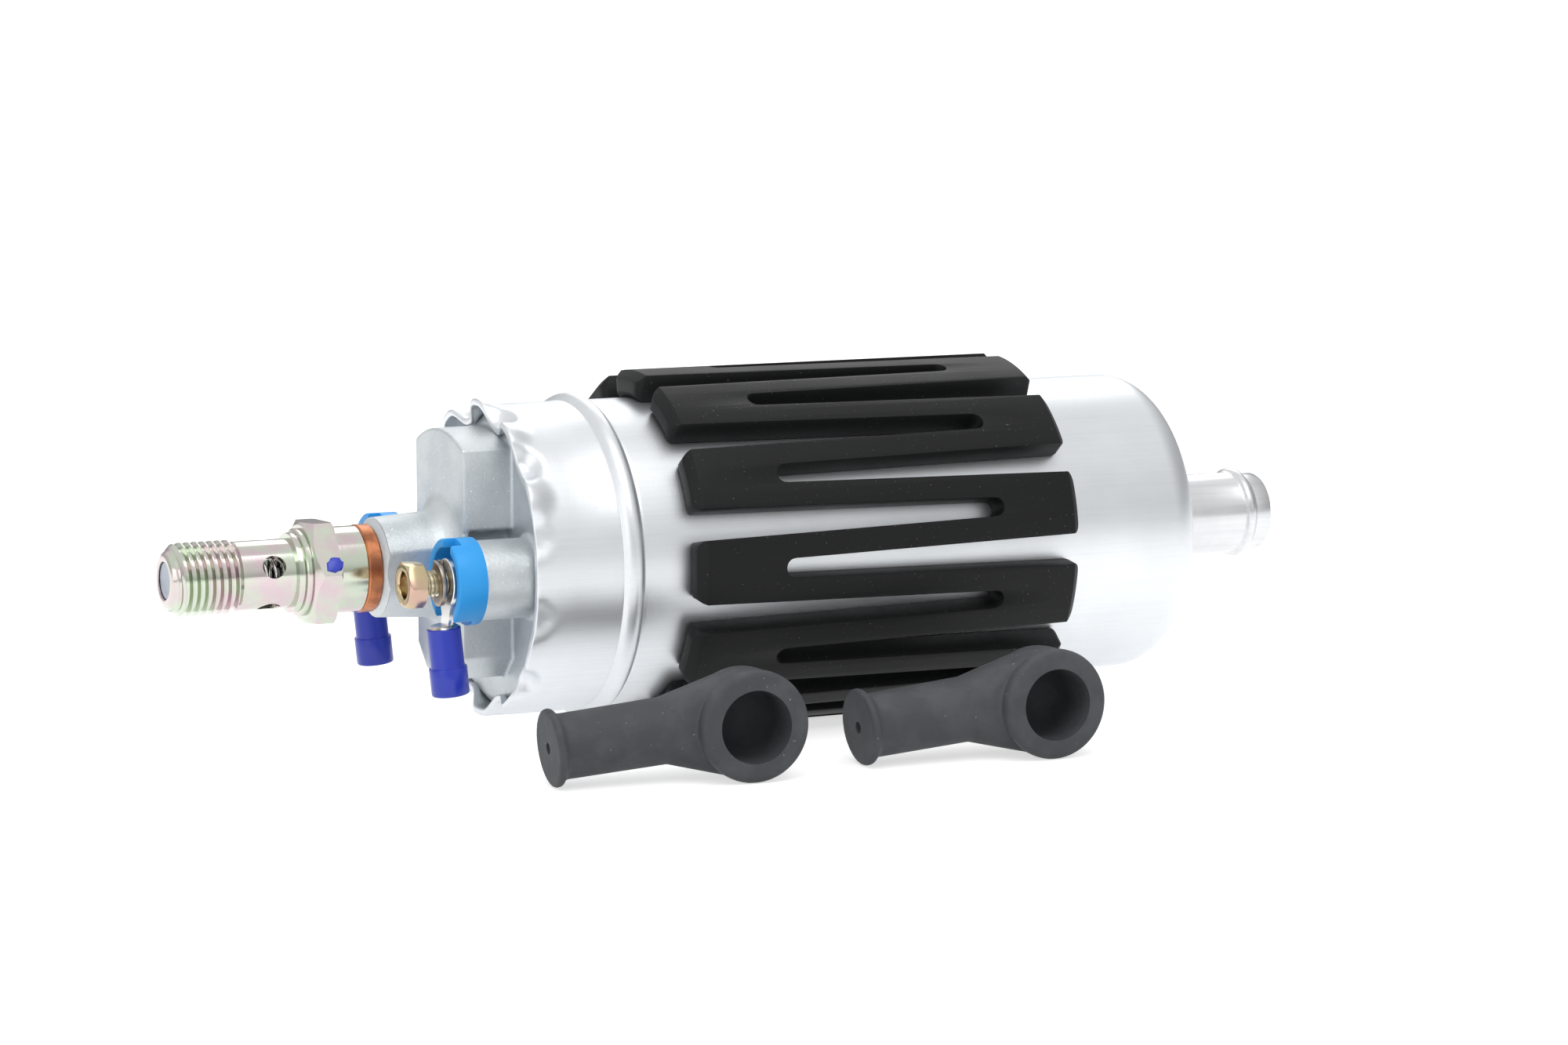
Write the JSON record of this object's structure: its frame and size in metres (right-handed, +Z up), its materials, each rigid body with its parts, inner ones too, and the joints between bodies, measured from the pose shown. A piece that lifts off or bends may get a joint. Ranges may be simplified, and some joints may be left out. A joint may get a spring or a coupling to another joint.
{
  "type": "electric fuel pump",
  "caption": "In-line electric fuel pump with a drawn can, roller-cell stage, check-valve outlet, beaded inlet, slotted rubber jacket and loose rubber terminal caps.",
  "frame": {"origin": "on the pump's axis, at the middle of the rubber jacket's length", "axes": "+X along the pump from the check valve towards the inlet spigot, +Z up from the surface that it lies on, -Y towards the loose terminal caps"},
  "size_m": [0.237, 0.1023, 0.0705],
  "materials": {
    "drawn_can": "satin, with fine lines round it",
    "spigot_metal": "bright turned",
    "screen_wire": "woven wire",
    "plate_steel": "ground",
    "ring_steel": "hardened and ground",
    "screw_steel": "plain",
    "spring_wire": "bright drawn wire",
    "bush_bronze": "sintered",
    "flux_steel": "rolled sheet",
    "ferrite": "matte ground ferrite",
    "carrier_resin": "moulded resin",
    "cover_casting": "fine-grained die casting",
    "seal_rubber": "smooth",
    "washer_copper": "satin copper",
    "valve_zinc": "bright zinc with a pale yellow tint",
    "plug_metal": "satin",
    "stud_steel": "plated thread",
    "collar_blue": "smooth sky-blue moulding",
    "nut_zinc": "yellow zinc",
    "washer_nickel": "browned nickel",
    "jacket_rubber": "semi-matte with dusty edges",
    "shaft_steel": "ground",
    "core_iron": "stacked sheet",
    "winding_copper": "enamelled copper",
    "plunger_resin": "moulded",
    "ball_steel": "polished",
    "brush_carbon": "pressed carbon",
    "terminal_tin": "tinned sheet",
    "sleeve_blue": "smooth royal-blue sleeve",
    "cap_rubber": "matte charcoal with pale specks"
  },
  "bodies": {
    "pump_body": {"can_housing": "drawn_can", "inlet_spigot": "spigot_metal", "inlet_screen": "screen_wire", "inlet_plate": "plate_steel", "pump_ring": "ring_steel", "outlet_plate": "plate_steel", "pump_screws": "screw_steel", "dowel_pins": "screw_steel", "relief_spring": "spring_wire", "relief_retainer": "bush_bronze", "flux_ring": "flux_steel", "magnet_upper": "ferrite", "magnet_lower": "ferrite", "magnet_clips": "spring_wire", "front_bush": "bush_bronze", "rear_bush": "bush_bronze", "brush_carrier": "carrier_resin", "brush_spring_upper": "spring_wire", "brush_spring_lower": "spring_wire", "end_cover": "cover_casting", "cover_seal": "seal_rubber", "copper_washer": "washer_copper", "valve_body": "valve_zinc", "valve_spring": "spring_wire", "tip_plug": "plug_metal", "stud_near": "stud_steel", "stud_far": "stud_steel", "collar_near": "collar_blue", "collar_far": "collar_blue", "inner_washers": "screw_steel", "clamp_nuts": "nut_zinc", "split_washers": "washer_nickel", "terminal_nuts": "nut_zinc", "rubber_jacket": "jacket_rubber"},
    "rotor": {"motor_shaft": "shaft_steel", "core_stack": "core_iron", "winding": "winding_copper", "commutator": "winding_copper", "rotor_disc": "ring_steel", "rollers": "shaft_steel"},
    "valve_plunger": {"valve_plunger": "plunger_resin"},
    "relief_ball": {"relief_ball": "ball_steel"},
    "brush_upper": {"brush_upper": "brush_carbon"},
    "brush_lower": {"brush_lower": "brush_carbon"},
    "terminal_near": {"ring_terminal_near": "terminal_tin", "crimp_sleeve_near": "sleeve_blue"},
    "terminal_far": {"ring_terminal_far": "terminal_tin", "crimp_sleeve_far": "sleeve_blue"},
    "cap_left": {"terminal_cap_left": "cap_rubber"},
    "cap_right": {"terminal_cap_right": "cap_rubber"}
  },
  "joints": [
    {"name": "rotor_spin", "type": "hinge", "parent": "pump_body", "child": "rotor", "pos_m": [0, 0, 0], "axis": [1, 0, 0], "continuous": true},
    {"name": "valve_lift", "type": "slide", "parent": "pump_body", "child": "valve_plunger", "axis": [-1, 0, 0], "range_m": [0, 0.003], "stiffness_N_per_m": 300, "springref_m": -0.003, "deforming": ["valve_spring"]},
    {"name": "relief_lift", "type": "slide", "parent": "pump_body", "child": "relief_ball", "axis": [1, 0, 0], "range_m": [0, 0.002], "stiffness_N_per_m": 1500, "springref_m": -0.003, "deforming": ["relief_spring"]},
    {"name": "brush_upper_slide", "type": "slide", "parent": "pump_body", "child": "brush_upper", "axis": [-1, 0, 0], "range_m": [0, 0.003], "stiffness_N_per_m": 120, "springref_m": -0.008, "deforming": ["brush_spring_upper"]},
    {"name": "brush_lower_slide", "type": "slide", "parent": "pump_body", "child": "brush_lower", "axis": [-1, 0, 0], "range_m": [0, 0.003], "stiffness_N_per_m": 120, "springref_m": -0.008, "deforming": ["brush_spring_lower"]},
    {"name": "terminal_near_turn", "type": "hinge", "parent": "pump_body", "child": "terminal_near", "pos_m": [-0.0865, -0.0203, -0.0007], "axis": [1, 0, 0], "range_deg": [-14, 14]},
    {"name": "terminal_far_turn", "type": "hinge", "parent": "pump_body", "child": "terminal_far", "pos_m": [-0.0865, 0.0203, -0.0007], "axis": [1, 0, 0], "range_deg": [-14, 14]},
    {"name": "cap_left_lift", "type": "slide", "parent": "pump_body", "child": "cap_left", "axis": [0, 0, 1], "range_m": [0, 0.06]},
    {"name": "cap_right_lift", "type": "slide", "parent": "pump_body", "child": "cap_right", "axis": [0, 0, 1], "range_m": [0, 0.06]}
  ]
}
